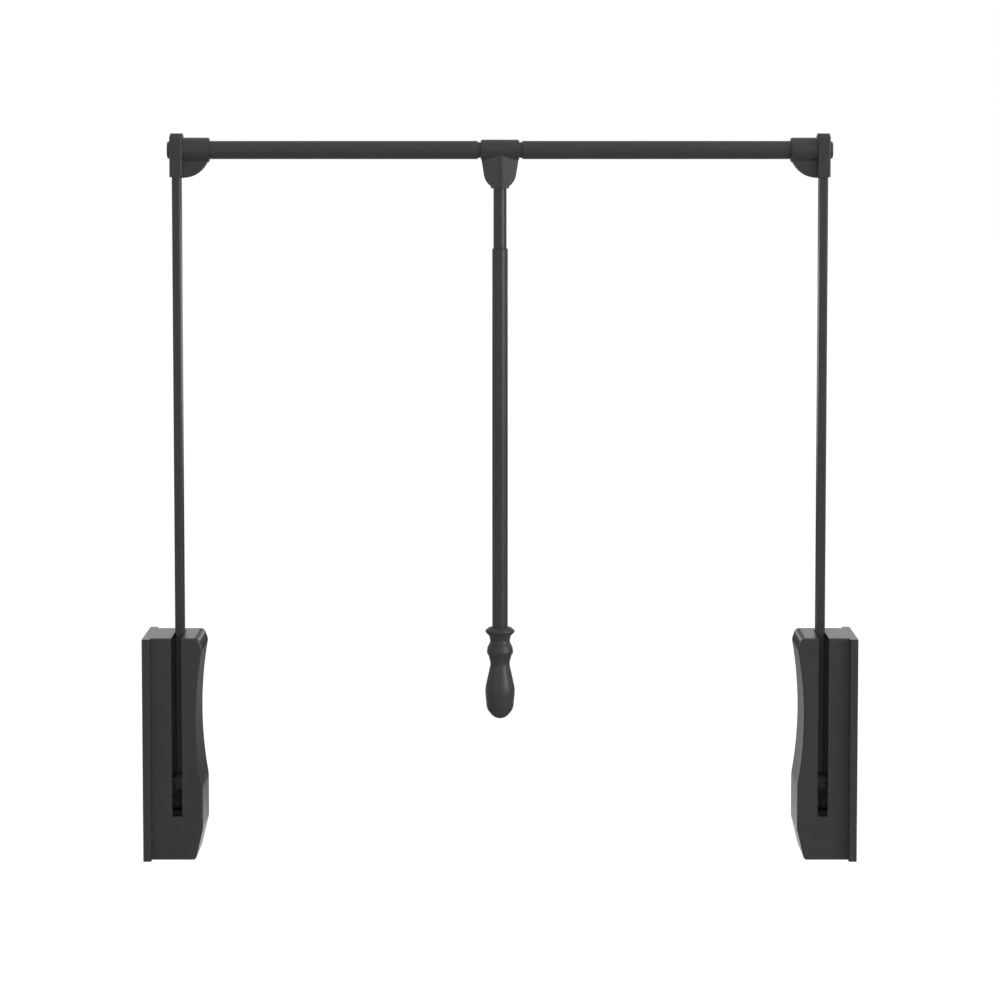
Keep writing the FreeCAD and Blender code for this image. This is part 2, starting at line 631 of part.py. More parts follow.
def spring_anchor():
    """Headed pin riveted in the frame; the spring's upper eye sits in its groove."""
    anchor = across_piece("left_spring_anchor", D.anchor_front, D.anchor_high)
    radius, tail, flange = D.anchor_radius, D.plate_thick + D.end_gap, D.plate_thick + D.sheet_thick
    centre, half = D.spring_inset, D.wire_radius + D.groove_gap
    flange_end, head_end = flange + D.anchor_flange_tall, D.anchor_shank + D.pin_head_tall
    anchor.revolve("XZ", "H").outline([
        (tail, 0), (tail, radius), (flange, radius), (flange, D.anchor_flange),
        (flange_end, D.anchor_flange), (flange_end, radius), (centre - half, radius),
        (centre - half, D.groove_radius), (centre + half, D.groove_radius),
        (centre + half, radius), (D.anchor_shank, radius), (D.anchor_shank, D.pin_head),
        (head_end, D.pin_head), (head_end, 0)])


def spring():
    """Extension spring: its coils as one coned barrel, and an eye round each pin."""
    rise, run = D.anchor_high - D.pivot_high - D.crank_up, D.crank_front - D.anchor_front
    length = Size(math.hypot(rise.value, run.value), f"sqrt({rise.text} ^ 2 + {run.text} ^ 2)")
    coil = Piece("left_spring", -D.overall_width / 2 + D.spring_inset,
                 D.arm_back - D.crank_front, D.pivot_high + D.crank_up)
    coil.body.Placement.Rotation = FreeCAD.Rotation(VEC(-1, 0, 0), 1)
    coil.body.setExpression("Placement.Rotation.Angle", f"atan2({run.text}; {rise.text})")
    wire, neck, start = D.wire_radius, D.neck_radius, D.coil_start
    eye = D.eye_radius + wire
    coil.revolve("XZ", "V").outline([
        (0, eye), (neck, eye), (D.spring_radius, start), (D.spring_radius, length - start),
        (neck, length - eye), (0, length - eye)])
    for centre in (0, length):
        ring = coil.pad("YZ", -wire, wire)
        ring.circle(0, centre, D.eye_radius + 2 * wire)
        ring.circle(0, centre, D.eye_radius)


def stop_pin():
    """Riveted spacer pin that holds the rubber of the lower stop."""
    pin = across_piece("left_stop_pin", D.stop_front, D.stop_high)
    radius, tail = D.crank_radius, D.plate_thick + D.end_gap
    head_end = D.frame_deep + D.pin_head_tall
    pin.revolve("XZ", "H").outline([
        (tail, 0), (tail, radius), (D.frame_deep, radius), (D.frame_deep, D.pin_head),
        (head_end, D.pin_head), (head_end, 0)])


def stop_sleeve():
    sleeve = across_piece("left_stop_sleeve", D.stop_front, D.stop_high)
    sleeve.pad("YZ", D.arm_inset - D.stop_half, D.arm_inset + D.stop_half).ring(
        D.stop_radius, D.crank_radius + D.seat)


def rest_bumper():
    """Rubber buffer behind the raised arm, pushed into the frame's web."""
    bumper = Piece("left_rest_bumper", -D.overall_width / 2 + D.arm_inset, D.arm_back,
                   D.rest_high)
    face, web = D.arm_deep / 2, D.frame_rear - D.sheet_thick
    neck, tip = D.crank_radius - D.seat, D.frame_rear + D.barb_tall
    bumper.revolve("XY", "V").outline([
        (0, face), (D.rest_radius, face), (D.rest_radius, web), (neck, web),
        (neck, D.frame_rear), (D.barb_radius, D.frame_rear), (neck, tip), (0, tip)])


def damper_piece(label):
    return Piece(label, -D.overall_width / 2 + D.arm_inset, D.arm_back + D.damper_rear, 0)


def damper():
    """Barrel of the hydraulic damper that catches the arm foot's rear lobe."""
    barrel = damper_piece("left_damper")
    gland, cavity = D.damper_rod + D.running, D.piston_radius + D.running
    roof, floor = D.damper_high - D.gland_tall, D.damper_low + D.damper_floor
    barrel.revolve("XZ", "V").outline([
        (0, D.damper_low), (D.damper_radius, D.damper_low), (D.damper_radius, D.damper_high),
        (gland, D.damper_high), (gland, roof), (cavity, roof), (cavity, floor), (0, floor)])


def damper_plunger():
    plunger = damper_piece("left_damper_plunger")
    piston, rod, wide = D.damper_low + D.piston_tall, D.damper_rod, D.piston_radius
    pad = D.plunger_high - D.pad_tall
    plunger.revolve("XZ", "V").outline([
        (0, piston), (wide, piston), (wide, piston + D.piston_tall), (rod, piston + D.piston_tall),
        (rod, pad), (wide, pad), (wide, D.plunger_high), (0, D.plunger_high)])


def damper_clip():
    """Moulded C clip that holds the damper, snapped into the frame's web by a stud."""
    clip = damper_piece("left_damper_clip")
    web = D.frame_rear - D.sheet_thick - D.damper_rear
    low, high = D.holder_high - D.holder_half, D.holder_high + D.holder_half
    wide, jaw, tip = D.holder_wide, -D.holder_jaw, D.holder_round
    clip.pad("XY", low, high).outline([
        (-wide, jaw, tip), (-wide, web), (wide, web), (wide, jaw, tip)])
    clip.pocket("XY", low, high).circle(0, 0, D.damper_radius + D.seat)
    clip.pad("XZ", web, web + D.sheet_thick + D.stud_proud).circle(
        0, D.holder_high, D.crank_radius - D.seat)


# ---------------------------------------------------------------- arms and elbows

def arm_piece(label, high):
    """A left piece of the swinging arm, x from the arm's centre plane."""
    return Piece(label, -D.overall_width / 2 + D.arm_inset, D.arm_back, high)


def flat_section(sketch, inset):
    """Rounded rectangle of the arm tube, shrunk by inset."""
    x, y = D.arm_thick / 2 - inset, D.arm_deep / 2 - inset
    radius = D.arm_round - inset
    sketch.outline([(-x, -y, radius), (x, -y, radius), (x, y, radius), (-x, y, radius)])


def arm():
    """Flat rectangular tube from the arm foot to the elbow."""
    tube = arm_piece("left_arm", 0)
    flat_section(tube.pad("XY", D.arm_low, D.arm_high), 0)
    flat_section(tube.pocket("XY", D.arm_low, D.arm_high), D.arm_wall)
    half = D.arm_thick / 2
    holes = tube.pocket("YZ", -half, half)
    holes.circle(0, D.rod_high, D.bolt_radius + D.running)
    for row in range(RIVETS):
        holes.circle(0, D.pivot_high + D.rivet_first + D.rivet_pitch * row,
                     D.rivet_radius + D.seat)


def arm_foot():
    """Cast foot: hub, crank lobe for the spring, rear lobe for the damper, tube spigot."""
    foot = arm_piece("left_arm_foot", D.pivot_high)
    half, tail = D.arm_thick / 2, D.arm_deep / 2
    foot.pad("YZ", -D.hub_out, D.hub_in).circle(0, 0, D.hub_radius)
    lobe = D.plunger_high - D.pivot_high
    shoulder = D.arm_low - D.pivot_high - D.end_gap
    crank, curve = -D.crank_front - D.crank_rim, D.heel_round
    foot.pad("YZ", -half, half).outline([
        (tail - 2 * D.lobe_round, -D.heel_low, curve), (tail, lobe, D.lobe_round / 2),
        (tail + D.lobe_long, lobe, D.lobe_round),
        (tail + D.lobe_long, D.lobe_low, 2 * D.lobe_round), (tail, shoulder),
        (-tail, shoulder), (-tail - D.pin_proud, D.crank_up + curve, D.lobe_round),
        (crank, D.crank_up + D.crank_top, curve), (crank, D.crank_up - D.crank_foot, curve),
        (-tail, -D.heel_low, curve)])
    side, deep = half - D.arm_wall - D.spigot_play, tail - D.arm_wall - D.spigot_play
    foot.pad("XY", shoulder - D.arm_round, D.spigot_high).rect(-side, -deep, side, deep)
    foot.pocket("YZ", -D.hub_out, D.hub_in).circle(0, 0, D.bush_radius + D.seat)
    pins = foot.pocket("YZ", -half, half)
    pins.circle(-D.crank_front, D.crank_up, D.crank_radius + D.seat)
    for row in range(RIVETS):
        pins.circle(0, D.rivet_first + D.rivet_pitch * row, D.rivet_radius + D.seat)


def foot_rivets():
    """Two flat head rivets through arm tube and foot spigot."""
    rivets = Piece("left_foot_rivets", -D.overall_width / 2 + D.arm_inset, D.arm_back,
                   D.pivot_high + D.rivet_first, many=True)
    half, radius, head = D.arm_thick / 2, D.rivet_radius, D.rivet_head
    end = half + D.rivet_head_tall
    rivets.revolve("XZ", "H").outline([
        (-end, 0), (-end, head), (-half, head), (-half, radius),
        (half, radius), (half, head), (end, head), (end, 0)])
    rivets.repeat("Z", D.rivet_pitch, RIVETS)


def pivot_bush():
    bush = arm_piece("left_pivot_bush", D.pivot_high)
    bush.pad("YZ", -D.hub_out, D.hub_in).ring(D.bush_radius, D.shaft_radius + D.running)


def crank_pin():
    """Headed pin in the crank lobe; the spring's lower eye sits in its groove."""
    pin = Piece("left_crank_pin", -D.overall_width / 2 + D.arm_inset,
                D.arm_back - D.crank_front, D.pivot_high + D.crank_up)
    radius, head = D.crank_radius, D.pin_proud - D.hub_out
    centre, half = D.spring_inset - D.arm_inset, D.wire_radius + D.groove_gap
    end, face = D.arm_thick / 2 + D.pin_proud, head - D.crank_head_tall
    pin.revolve("XZ", "H").outline([
        (face, 0), (face, D.crank_head), (head, D.crank_head), (head, radius),
        (centre - half, radius), (centre - half, D.groove_radius),
        (centre + half, D.groove_radius), (centre + half, radius), (end, radius), (end, 0)])


def elbow():
    """Moulded elbow: socket over the arm, sleeve round the rod, quarter round gusset."""
    bend = arm_piece("left_elbow", D.rod_high)
    wide, deep, low = D.socket_half, D.socket_deep, -D.socket_low
    corners = [(-1, -1), (1, -1), (1, 1), (-1, 1)]
    bend.pad("XY", low, D.socket_shoulder).outline([
        (wide * sx, deep * sy, D.socket_round) for sx, sy in corners])
    cap = bend.body.newObject("PartDesign::AdditiveLoft", "left_elbow_cap")
    sections = []
    for high, narrow, short in (
            (D.socket_shoulder, 0, 0), (D.socket_high, D.cap_narrow, D.cap_short)):
        section = Sketch(bend.body, "XY", high)
        section.outline([((wide - narrow) * sx, (deep - short) * sy, D.head_round)
                         for sx, sy in corners])
        sections.append(section.item)
    cap.Profile, cap.Sections = sections[0], sections[1:]
    cap.Ruled = True
    root, reach = wide - D.gusset_root, wide + D.gusset_radius - D.gusset_tip
    bend.pad("XZ", -D.gusset_half, D.gusset_half).outline([
        (root, 0), (reach, 0), (reach, -D.gusset_radius, D.gusset_radius - D.gusset_tip),
        (root, -D.gusset_radius)])
    bend.pad("YZ", 0, D.sleeve_end).circle(0, 0, D.sleeve_radius)
    bend.chamfer(D.mouth_break, lambda edge: circle_at(edge, "X", number(D.sleeve_end)))
    flat_section(bend.pocket("XY", low, D.arm_high - D.rod_high + D.end_gap), -D.seat)
    bend.pocket("YZ", D.tube_start - D.end_gap, reach).circle(0, 0, D.rod_radius + D.seat)
    bend.pocket("YZ", -wide, D.tube_start).circle(0, 0, D.bolt_radius + D.running)


def rod_bolt():
    """Low head socket bolt through elbow and arm into the tube plug."""
    bolt = arm_piece("left_rod_bolt", D.rod_high)
    head = -D.socket_half
    top = head - D.bolt_head_tall
    bolt.revolve("XZ", "H").outline([
        (top, 0), (top, D.bolt_head - D.bolt_break), (top + D.bolt_break, D.bolt_head),
        (head, D.bolt_head), (head, D.bolt_radius), (D.bolt_long, D.bolt_radius),
        (D.bolt_long, 0)])
    corner = D.hex_half / math.cos(math.pi / 6)
    hexagon = [(corner * math.cos(math.pi / 3 * i), corner * math.sin(math.pi / 3 * i))
               for i in range(6)]
    bolt.pocket("YZ", top, top + D.hex_deep).outline(hexagon)


def tube_plug():
    """Threaded plug fixed in the outer tube's end."""
    plug = arm_piece("left_tube_plug", D.rod_high)
    inside = D.inner_radius + D.running - D.seat
    plug.revolve("XZ", "H").outline([
        (D.tube_start, D.bolt_radius + D.seat), (D.tube_start, inside), (D.plug_end, inside),
        (D.plug_end, 0), (D.plug_bore, 0), (D.plug_bore, D.bolt_radius + D.seat)])


def outer_tube():
    tube = arm_piece("left_outer_tube", D.rod_high)
    end = D.overall_width / 2 - D.arm_inset - D.tee_half - D.tee_gap
    tube.pad("YZ", D.tube_start, end).ring(D.rod_radius, D.inner_radius + D.running)
    tube.chamfer(D.tube_break, lambda edge: circle_at(edge, "X", number(end))
                 and edge.BoundBox.YMax > number(D.inner_radius + D.running) + EDGE_TOL)


# ---------------------------------------------------------------- middle of the rod

def centre_piece(label):
    """A middle piece drawn from the hanging rod's axis."""
    return Piece(label, 0, D.arm_back, D.rod_high)


def inner_tube():
    """Inner hanging tube that both outer tubes slide on."""
    tube = centre_piece("inner_tube")
    tube.pad("YZ", -D.inner_half, D.inner_half).ring(
        D.inner_radius, D.inner_radius - D.inner_wall)
    tube.pocket("XY", D.locator_low, D.inner_radius).circle(0, 0, D.screw_radius + D.seat)


def locating_pin():
    """Pin in the inner tube that keeps the tee in the middle by its inner groove."""
    pin = centre_piece("locating_pin")
    pin.pad("XY", D.locator_low, D.locator_high).circle(0, 0, D.screw_radius)


def skirt_section(sketch, wide):
    """Plan of the tee's skirt: flanks that run tangent from the round socket to its edges."""
    edge, crest, curve = D.skirt_edge, D.socket_crest, D.socket_radius
    sketch.outline([
        (-wide, -edge), (0, -crest, curve), (wide, -edge),
        (wide, edge), (0, crest, curve), (-wide, edge)])


def tee():
    """Moulded tee: sleeve that turns on the rod, shield-shaped skirt and rod socket."""
    joint = centre_piece("tee")
    wide, half, low = D.skirt_half, D.socket_radius, -D.skirt_low
    bend, curve = low + D.skirt_foot, D.skirt_round
    joint.pad("XZ", -D.tee_radius, D.tee_radius).outline([
        (-half, low), (half, low), (half, low + D.skirt_lip), (D.skirt_bend, bend, curve),
        (wide, -D.skirt_top), (wide, 0), (-wide, 0), (-wide, -D.skirt_top),
        (-D.skirt_bend, bend, curve), (-half, low + D.skirt_lip)])
    waste = joint.pocket("XY", low, 0)
    waste.rect(-D.tee_half * 2, -D.tee_half, D.tee_half * 2, D.tee_half)
    skirt_section(waste, D.tee_half + D.tee_break)
    end, rim = D.tee_half - D.tee_break, D.tee_radius - D.tee_break
    joint.revolve("XZ", "H").outline([
        (-D.tee_half, 0), (-D.tee_half, rim), (-end, D.tee_radius), (end, D.tee_radius),
        (D.tee_half, rim), (D.tee_half, 0)])
    joint.pocket("YZ", -D.tee_half, D.tee_half).circle(0, 0, D.inner_radius + D.running)
    joint.pocket("YZ", -D.locator_half, D.locator_half).circle(0, 0, D.locator_groove)
    joint.pocket("XY", low, -D.rod_seat).circle(0, 0, D.pull_radius + D.seat)
    joint.pocket("XZ", D.tee_screw_seat, D.hole_reach).circle(
        0, -D.tee_screw_low, D.screw_radius + D.seat)


def tee_screw():
    """Grub screw from the rear that holds the pull rod in the tee."""
    screw = centre_piece("tee_screw")
    screw.pad("XZ", D.tee_screw_seat, D.socket_radius - D.screw_gap).circle(
        0, -D.tee_screw_low, D.screw_radius)


def pull_rod():
    """Upper tube of the telescoping pull rod; its swaged end stops the guide bush."""
    rod = centre_piece("pull_rod")
    inside = D.pull_radius - D.pull_wall
    rod.pad("XY", -D.pull_low, -D.rod_seat - D.end_gap).ring(D.pull_radius, inside)
    rod.pad("XY", -D.pull_low, D.swage_tall - D.pull_low).ring(D.swage_radius, inside)
    rod.pocket("XZ", D.tee_screw_seat, D.pull_radius).circle(
        0, -D.tee_screw_low, D.screw_radius + D.seat)


def pull_tube():
    """Lower tube of the pull rod."""
    tube = centre_piece("pull_tube")
    low = D.handle_low + D.handle_tall - D.handle_socket - D.rod_high
    tube.pad("XY", low, -D.grip_high).ring(D.grip_radius, D.grip_radius - D.grip_wall)
    tube.pocket("XZ", D.grub_seat, D.grip_radius).circle(
        0, low + D.grub_rise, D.screw_radius + D.seat)


def guide_bush():
    """Flanged nylon bush between the two pull tubes."""
    bush = centre_piece("guide_bush")
    inside, outside = D.pull_radius + D.running, D.grip_radius - D.grip_wall - D.seat
    top = -D.grip_high
    bush.revolve("XZ", "V").outline([
        (inside, top - D.guide_tall), (outside, top - D.guide_tall), (outside, top),
        (D.grip_radius, top), (D.grip_radius - D.head_round, top + D.guide_flange),
        (inside, top + D.guide_flange)])


def handle():
    """Turned handle: collar, neck, bead, second neck and pear-shaped grip."""
    grip = Piece("handle", 0, D.arm_back, D.handle_low)
    top = D.handle_tall
    grip.revolve("XZ", "V").outline([
        (0, 0), *HANDLE_OUTLINE, (D.grip_radius + D.handle_rim, top), (0, top)])
    grip.pocket("XY", top - D.handle_socket, top).circle(0, 0, D.grip_radius + D.seat)
    grip.pocket("XZ", D.grub_seat, D.handle_socket).circle(
        0, top - D.handle_socket + D.grub_rise, D.screw_radius + D.seat)


def handle_screw():
    """Grub screw from the rear that holds the handle on the pull tube."""
    screw = Piece("handle_screw", 0, D.arm_back, D.handle_low)
    high = D.handle_tall - D.handle_socket + D.grub_rise
    screw.pad("XZ", D.grub_seat, D.grub_end).circle(0, high, D.screw_radius)


# ---------------------------------------------------------------- assembly

LEFT_PIECES = [
    wall_plate, cover, frame, frame_screws, cover_screws, pivot_shaft, shaft_clip, spring_anchor,
    spring, stop_pin, stop_sleeve, rest_bumper, damper, damper_clip, damper_plunger,
    arm, arm_foot, foot_rivets, pivot_bush, crank_pin, elbow, rod_bolt, tube_plug, outer_tube]
CENTRE_PIECES = [
    inner_tube, locating_pin, tee, tee_screw, pull_rod, pull_tube, guide_bush, handle,
    handle_screw]


def mirror_right():
    """Mirror every left sub-part to the right of the middle plane."""
    for source in list(sub_parts):
        twin = doc.addObject("Part::Mirroring", source.Label.replace("left_", "right_"))
        twin.Source = source
        twin.Base, twin.Normal = VEC(0, 0, 0), VEC(1, 0, 0)
        twin.Label = source.Label.replace("left_", "right_")
        sub_parts.append(twin)


def check_document():
    """Stop at any failed object, cut that cuts nothing, or sub-part that is not a solid."""
    for item in doc.Objects:
        if "Invalid" in item.State or "Error" in item.State:
            raise RuntimeError(f"{item.Label} failed to compute")
        if item.TypeId == "PartDesign::Pocket":
            if item.Shape.Volume > item.BaseFeature.Shape.Volume - CUT_TOL:
                raise RuntimeError(f"{item.Label} cuts nothing")
    for item in sub_parts:
        if item.Shape.isNull() or not item.Shape.isValid() or not item.Shape.Solids:
            raise RuntimeError(f"{item.Label} is not a valid solid")


def write_parts(folder):
    os.makedirs(folder, exist_ok=True)
    for item in sub_parts:
        item.Shape.exportStep(os.path.join(folder, f"{item.Label}.step"))


for build in LEFT_PIECES:
    build()
doc.recompute()
mirror_right()
for build in CENTRE_PIECES:
    build()
doc.recompute()
check_document()
write_parts("parts")
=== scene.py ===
import math

import bmesh
import bpy
from mathutils import Matrix, Vector


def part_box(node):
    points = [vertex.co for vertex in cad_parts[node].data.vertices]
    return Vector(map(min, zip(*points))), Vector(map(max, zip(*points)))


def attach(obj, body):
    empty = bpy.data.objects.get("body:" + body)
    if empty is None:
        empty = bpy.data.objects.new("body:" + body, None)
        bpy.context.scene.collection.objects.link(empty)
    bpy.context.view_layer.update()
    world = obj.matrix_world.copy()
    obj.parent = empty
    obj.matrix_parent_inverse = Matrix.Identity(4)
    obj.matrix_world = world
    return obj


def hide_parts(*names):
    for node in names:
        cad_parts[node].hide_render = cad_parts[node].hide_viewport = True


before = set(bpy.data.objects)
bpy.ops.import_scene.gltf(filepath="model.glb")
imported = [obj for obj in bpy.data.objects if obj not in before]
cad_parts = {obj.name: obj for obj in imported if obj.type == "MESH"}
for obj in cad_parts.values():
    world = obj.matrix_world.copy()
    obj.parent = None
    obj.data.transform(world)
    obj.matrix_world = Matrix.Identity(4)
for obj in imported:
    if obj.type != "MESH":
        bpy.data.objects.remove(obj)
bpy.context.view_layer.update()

bl_info = {
    "name": "Pull Down Closet Rod",
    "version": (1, 0, 0),
    "blender": (4, 5, 0),
    "location": "View3D > Sidebar > Closet Rod",
    "description": "Finishes, springs, rubbers and fasteners of a pull down closet rod",
    "category": "Object",
}

SIDES = (("left", -1), ("right", 1))
ALONG = {"X": Vector((1, 0, 0)), "Y": Vector((0, 1, 0)), "Z": Vector((0, 0, 1))}
QUARTER = math.pi / 2
# steps round a turned body, one turn of a spring, an eye, the wire's section and a dome
FINE_TURN = 48
COIL_STEPS = 20
EYE_STEPS = 24
WIRE_SIDES = 12
DOME_STEPS = 6
# spots closer than MERGE are one, and a face lies on a plane when it is within NEAR of it
MERGE = 1e-6
NEAR = 10 * MERGE
# cosine of the angle to which a face still counts as facing straight out
FLAT = 0.995
# edges that turn more than this are crisp
CRISP = math.radians(32)


def length(name, default, description):
    """A length in metres for the sidebar."""
    return bpy.props.FloatProperty(
        name=name, description=description, default=default, min=0, precision=4, unit="LENGTH")


def colour(name, default, description):
    """A surface colour for the sidebar."""
    return bpy.props.FloatVectorProperty(
        name=name, description=description, default=default, size=3, min=0, max=1,
        subtype="COLOR")


class ClosetRodSizes(bpy.types.PropertyGroup):
    """Sizes of the springs and fasteners."""
    spring_wire: length("Spring Wire", 0.002, "Radius of the spring wire")
    spring_coil: length("Spring Coil", 0.0065, "Radius of the coils to the middle of the wire")
    spring_eye: length("Spring Eye", 0.0051, "Radius of the eyes to the middle of the wire")
    spring_lead: length("Spring Lead", 0.012, "First coil from the middle of an eye")
    bolt_head: length("Bolt Head", 0.0103, "Radius of the rod bolts' heads")
    bolt_round: length("Bolt Rounding", 0.0018, "Rounding of the rod bolts' heads")
    bolt_shank: length("Bolt Shank", 0.004, "Radius of the rod bolts' shanks")
    bolt_socket: length("Bolt Socket", 0.003, "Half the hexagon socket across its flats")
    screw_head: length("Screw Head", 0.004, "Radius of the pan heads")
    screw_shank: length("Screw Shank", 0.002, "Radius of the screws' shanks")
    recess_width: length("Recess Width", 0.00045, "Half width of the cross recess")
    recess_reach: length("Recess Reach", 0.0021, "Half length of the cross recess")


class ClosetRodColours(bpy.types.PropertyGroup):
    """Colours of the finishes."""
    coat: colour("Powder Coat", (0.0280, 0.0280, 0.0280), "Arms and hanging tubes")
    plastic: colour("Moulded Plastic", (0.0266, 0.0266, 0.0266), "Covers, plates, elbows, tee")
    grip: colour("Grip", (0.0290, 0.0290, 0.0290), "Turned handle")
    black_screw: colour("Blackened Steel", (0.032, 0.032, 0.032), "Bolts and screws that show")
    zinc: colour("Zinc Plate", (0.52, 0.53, 0.54), "Pins, clips and rivets")
    frame_coat: colour("Frame Coat", (0.045, 0.045, 0.045), "Bent frames")
    cast: colour("Painted Casting", (0.030, 0.030, 0.030), "Arm feet")
    spring: colour("Spring Steel", (0.20, 0.195, 0.19), "Return springs")
    barrel: colour("Damper Barrel", (0.05, 0.052, 0.056), "Damper barrels")
    nylon: colour("Natural Nylon", (0.62, 0.60, 0.55), "Bushes")
    black_nylon: colour("Black Nylon", (0.018, 0.018, 0.018), "Guide bush")
    rubber: colour("Rubber", (0.012, 0.012, 0.012), "Stops and buffers")
    floor: colour("Floor", (0.85, 0.85, 0.85), "Studio floor as it lights the part")


class ClosetRodStage(bpy.types.PropertyGroup):
    """Camera, room light and floor."""
    camera_y: bpy.props.FloatProperty(
        name="Camera Distance", description="Camera ahead of the middle of the part",
        default=4.4575, unit="LENGTH")
    camera_z: bpy.props.FloatProperty(
        name="Camera Height", description="Camera above the housings' lower ends",
        default=0.879, unit="LENGTH")
    camera_tilt: bpy.props.FloatProperty(
        name="Camera Tilt", description="Camera tilt below the horizon",
        default=math.radians(4.945), subtype="ANGLE", unit="ROTATION")
    camera_lens: bpy.props.FloatProperty(
        name="Lens", description="Focal length for a 36 mm sensor", default=133.13,
        subtype="DISTANCE_CAMERA", unit="CAMERA")
    camera_shift: bpy.props.FloatProperty(
        name="Shift", description="Vertical lens shift", default=-0.05)
    ambient: bpy.props.FloatProperty(
        name="Room Light", description="Even light of the studio walls", default=0.38,
        min=0, max=1, subtype="FACTOR")
    floor_drop: length("Floor Drop", 0.55, "Floor below the housings' lower ends")
    # the cards show only in reflections, as painted dark reflections
    card_distance: length("Card Distance", 3.0, "Dark cards behind the rod")


# ---------------------------------------------------------------- finishes

WHITE = (1, 1, 1, 1)
# octaves of the grain and of the clouds, and how much weaker each octave is
GRAIN_DETAIL = 2.0
CLOUD_DETAIL = 4.0
OCTAVE_SHARE = 0.55
# clouds are this many times larger than the grain
CLOUD_SIZE = 40
# shares of the grain and of the clouds in the tint and in the relief
GRAIN_TINT, CLOUD_TINT = 0.35, 0.65
GRAIN_RELIEF, CLOUD_RELIEF = 0.8, 0.2
# how much the grain and the clouds change the roughness
GRAIN_ROUGH, CLOUD_ROUGH = 0.08, 0.10


class Wire:
    """A shader socket that adds, takes away and multiplies like a number."""

    def __init__(self, nodes, socket):
        self.nodes = nodes
        self.socket = socket

    def sum(self, operation, first, second):
        """A Math node on two values or sockets."""
        return self.nodes.add("ShaderNodeMath", {"operation": operation}, {0: first, 1: second})

    def __add__(self, other):
        return self.sum("ADD", self, other)

    def __radd__(self, other):
        return self.sum("ADD", other, self)

    def __sub__(self, other):
        return self.sum("SUBTRACT", self, other)

    def __rsub__(self, other):
        return self.sum("SUBTRACT", other, self)

    def __mul__(self, other):
        return self.sum("MULTIPLY", self, other)

    def __rmul__(self, other):
        return self.sum("MULTIPLY", other, self)


class Nodes:
    """The shader nodes of one material or of the world."""

    def __init__(self, owner):
        owner.use_nodes = True
        self.tree = owner.node_tree
        self.tree.nodes.clear()

    def add(self, kind, settings=(), sockets=(), output=0):
        """Add a node with its settings and the values or links of its sockets."""
        node = self.tree.nodes.new(kind)
        for name, value in dict(settings).items():
            setattr(node, name, value)
        for name, value in dict(sockets).items():
            if isinstance(value, Wire):
                self.tree.links.new(value.socket, node.inputs[name])
            else:
                node.inputs[name].default_value = value
        return Wire(self, node.outputs[output]) if len(node.outputs) else None

    def noise(self, place, scale, detail):
        """Even noise in space, from 0 to 1."""
        return self.add("ShaderNodeTexNoise", {}, {
            "Vector": place, "Scale": scale, "Detail": detail, "Roughness": OCTAVE_SHARE})

    def mix(self, factor, first, second):
        """A colour between two others."""
        return self.add(
            "ShaderNodeMix", {"data_type": "RGBA"}, {0: factor, 6: first, 7: second}, output=2)

    def level(self, socket, low, high):
        """0 to 1 as a value goes from low to high, and no further."""
        return self.add("ShaderNodeMapRange", {"clamp": True}, {
            "Value": socket, "From Min": low, "From Max": high})

    def away_from_lamps(self):
        """1 for what the camera sees, straight or through a gloss or glass, else 0."""
        straight = self.add("ShaderNodeLightPath", output="Is Camera Ray")
        gloss = self.add("ShaderNodeLightPath", output="Is Glossy Ray")
        glass = self.add("ShaderNodeLightPath", output="Is Transmission Ray")
        return straight.sum("MINIMUM", straight + gloss + glass, 1.0)


def shade(tone, factor):
    """An opaque colour, lightened or darkened."""
    return (*(min(1.0, channel * factor) for channel in tone), 1.0)


def surface(name, tone, rough, grain, relief, mottle=0.10, fixed=()):
    """A finish with fine grain in its relief, faint mottling and uneven gloss."""
    material = bpy.data.materials.new(name)
    nodes = Nodes(material)
    place = nodes.add("ShaderNodeTexCoord", output="Object")
    fine = nodes.noise(place, grain, GRAIN_DETAIL)
    cloud = nodes.noise(place, grain / CLOUD_SIZE, CLOUD_DETAIL)
    tint = nodes.mix(fine * GRAIN_TINT + cloud * CLOUD_TINT, shade(tone, 1 - 2 * mottle),
                     shade(tone, 1 + 2 * mottle))
    bump = nodes.add("ShaderNodeBump", {}, {
        "Strength": 1.0, "Distance": relief,
        "Height": fine * GRAIN_RELIEF + cloud * CLOUD_RELIEF})
    uneven = rough + (cloud - 0.5) * CLOUD_ROUGH + (fine - 0.5) * GRAIN_ROUGH
    shader = nodes.add("ShaderNodeBsdfPrincipled", {}, {
        "Base Color": tint, "Roughness": uneven, "Normal": bump, **dict(fixed)})
    nodes.add("ShaderNodeOutputMaterial", {}, {"Surface": shader})
    return material


def powder_coat(name, tone):
    """Satin powder coat with a slight orange peel."""
    return surface(name, tone, rough=0.34, grain=620.0, relief=0.000012,
                   fixed={"Specular IOR Level": 0.45})


def moulded_plastic(name, tone):
    """Black moulded plastic with a fine spark-eroded grain."""
    return surface(name, tone, rough=0.30, grain=1500.0, relief=0.00002,
                   fixed={"Specular IOR Level": 0.5})


def turned_grip(name, tone):
    """Smooth satin grip."""
    return surface(name, tone, rough=0.45, grain=420.0, relief=0.00001,
                   fixed={"Specular IOR Level": 0.45})


def plated_steel(name, tone):
    """Zinc plate or spring steel, faintly clouded."""
    return surface(name, tone, rough=0.34, grain=900.0, relief=0.000006, mottle=0.07,
                   fixed={"Metallic": 1.0})


def cast_metal(name, tone):
    """Painted casting with a pebbled skin."""
    return surface(name, tone, rough=0.52, grain=700.0, relief=0.00006, mottle=0.12)


def nylon(name, tone):
    """Waxy nylon."""
    return surface(name, tone, rough=0.44, grain=800.0, relief=0.000006, mottle=0.04)


def rubber(name, tone):
    """Dull rubber with a bloom."""
    return surface(name, tone, rough=0.78, grain=1100.0, relief=0.00003, mottle=0.2,
                   fixed={"Specular IOR Level": 0.3})


